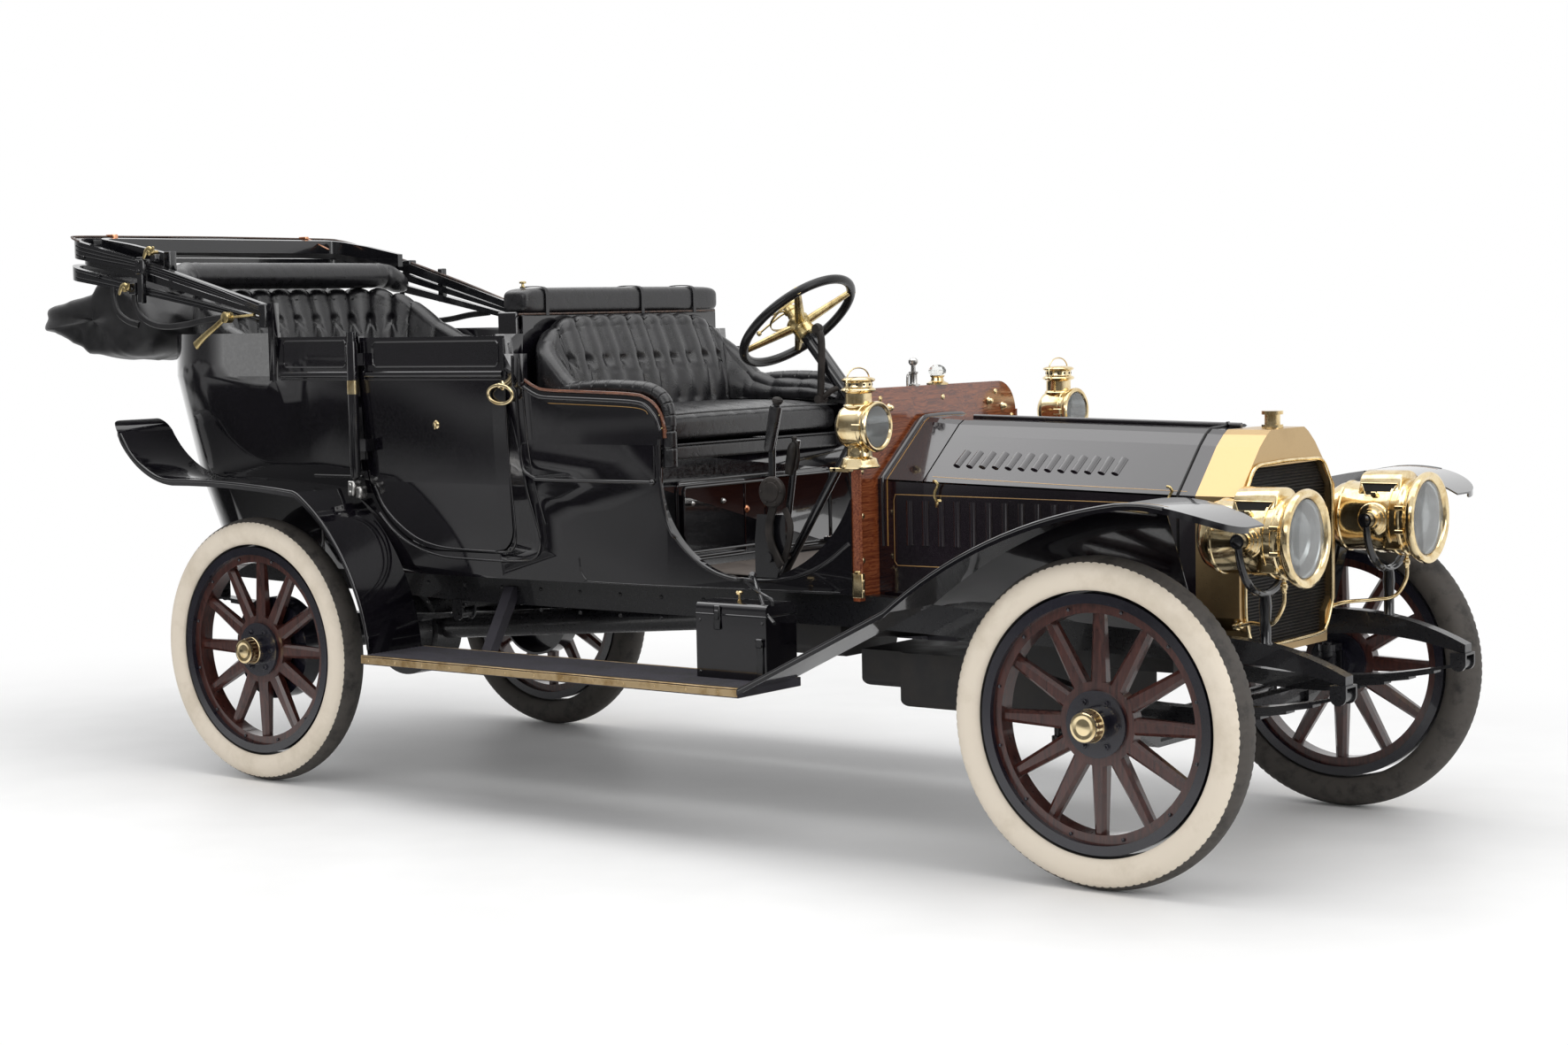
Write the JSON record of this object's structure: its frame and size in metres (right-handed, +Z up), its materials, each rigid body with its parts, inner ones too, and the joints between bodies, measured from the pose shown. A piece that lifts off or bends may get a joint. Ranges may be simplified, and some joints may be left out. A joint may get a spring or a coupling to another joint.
{
  "type": "brass era touring car",
  "caption": "Open right-hand-drive touring car with a brass radiator and lamps, wood-spoked wheels, two bench seats, rear doors and a folded top.",
  "frame": {"origin": "middle of the car's bounding box, on the ground", "axes": "+X forward, +Y to the car's left, +Z up"},
  "size_m": [5.203, 1.69, 1.8429],
  "materials": {
    "black_paint": "gloss",
    "black_steel": "gloss",
    "cast_iron": "rough",
    "brass": "polished",
    "core_black": "satin",
    "mahogany": "varnished",
    "board_rubber": "ribbed",
    "leather": "satin",
    "hood_cloth": "matte",
    "glass": "clear",
    "wheel_rim_black": "gloss",
    "tyre": "matte",
    "painted_wood": "gloss"
  },
  "bodies": {
    "root": {"chassis_frame": "black_steel", "leaf_springs": "black_steel", "front_axle": "black_steel", "rear_axle": "black_steel", "gearbox": "cast_iron", "engine_block": "cast_iron", "radiator_shell": "brass", "radiator_core": "core_black", "filler_cap": "brass", "bonnet_sides": "black_paint", "scuttle": "black_paint", "bonnet_ledges": "mahogany", "dashboard": "mahogany", "body_tub": "black_paint", "door_posts": "black_steel", "front_cushion": "leather", "front_seat_back": "leather", "front_seat_roll": "leather", "rear_cushion": "leather", "rear_seat_back": "leather", "rear_seat_roll": "leather", "front_wings": "black_paint", "rear_wings": "black_paint", "running_boards": "board_rubber", "toolbox": "black_paint", "headlamps": "brass", "headlamp_forks": "black_steel", "sidelamps": "brass", "lamp_lenses": "glass", "steering_column": "black_steel", "hand_levers": "black_steel", "dash_braces": "black_steel", "top_bows": "black_steel", "top_cloth": "hood_cloth"},
    "wheel_front_right": {"tyre_front_right": "tyre", "spokes_front_right": "painted_wood", "hub_front_right": "black_steel"},
    "wheel_front_left": {"tyre_front_left": "tyre", "spokes_front_left": "painted_wood", "hub_front_left": "black_steel"},
    "wheel_rear_right": {"tyre_rear_right": "tyre", "spokes_rear_right": "painted_wood", "hub_rear_right": "black_steel"},
    "wheel_rear_left": {"tyre_rear_left": "tyre", "spokes_rear_left": "painted_wood", "hub_rear_left": "black_steel"},
    "knuckle_right": {"knuckle_right": "black_steel"},
    "knuckle_left": {"knuckle_left": "black_steel"},
    "tie_rod": {"tie_rod": "black_steel"},
    "steering_wheel": {"steering_wheel": "wheel_rim_black"},
    "door_right": {"door_right": "black_paint"},
    "door_left": {"door_left": "black_paint"},
    "bonnet_right": {"bonnet_right": "black_paint"},
    "bonnet_left": {"bonnet_left": "black_paint"}
  },
  "joints": [
    {"name": "steer_right", "type": "hinge", "parent": "root", "child": "knuckle_right", "pos_m": [2.0505, -0.612, 0.44], "axis": [0, 0, 1], "range_deg": [-30, 30]},
    {"name": "steer_left", "type": "hinge", "parent": "root", "child": "knuckle_left", "pos_m": [2.0505, 0.612, 0.44], "axis": [0, 0, 1], "range_deg": [-30, 30]},
    {"name": "tie_rod_pivot", "type": "hinge", "parent": "knuckle_right", "child": "tie_rod", "pos_m": [1.8605, -0.612, 0.362], "axis": [0, 0, 1], "range_deg": [-30, 30]},
    {"name": "steering_wheel_turn", "type": "hinge", "parent": "root", "child": "steering_wheel", "pos_m": [0.6955, -0.2, 1.498], "axis": [-0.6468, 0, 0.7627], "range_deg": [-360, 360]},
    {"name": "spin_front_right", "type": "hinge", "parent": "knuckle_right", "child": "wheel_front_right", "pos_m": [2.0505, -0.711, 0.44], "axis": [0, 1, 0], "continuous": true},
    {"name": "spin_front_left", "type": "hinge", "parent": "knuckle_left", "child": "wheel_front_left", "pos_m": [2.0505, 0.711, 0.44], "axis": [0, 1, 0], "continuous": true},
    {"name": "spin_rear_right", "type": "hinge", "parent": "root", "child": "wheel_rear_right", "pos_m": [-1.1745, -0.711, 0.44], "axis": [0, 1, 0], "continuous": true},
    {"name": "spin_rear_left", "type": "hinge", "parent": "root", "child": "wheel_rear_left", "pos_m": [-1.1745, 0.711, 0.44], "axis": [0, 1, 0], "continuous": true},
    {"name": "door_right_swing", "type": "hinge", "parent": "root", "child": "door_right", "pos_m": [-0.8235, -0.606, 1.25], "axis": [0, 0, -1], "range_deg": [0, 45]},
    {"name": "door_left_swing", "type": "hinge", "parent": "root", "child": "door_left", "pos_m": [-0.8235, 0.606, 1.25], "axis": [0, 0, 1], "range_deg": [0, 45]},
    {"name": "bonnet_right_lift", "type": "hinge", "parent": "root", "child": "bonnet_right", "pos_m": [2.0905, 0, 1.187], "axis": [-0.9998, 0, 0.0191], "range_deg": [0, 60]},
    {"name": "bonnet_left_lift", "type": "hinge", "parent": "root", "child": "bonnet_left", "pos_m": [2.0905, 0, 1.187], "axis": [0.9998, 0, -0.0191], "range_deg": [0, 60]}
  ],
  "couplings": [
    {"joint": "steer_left", "follows": "steer_right", "ratio": 1},
    {"joint": "tie_rod_pivot", "follows": "steer_right", "ratio": -1},
    {"joint": "steering_wheel_turn", "follows": "steer_right", "ratio": 12}
  ]
}
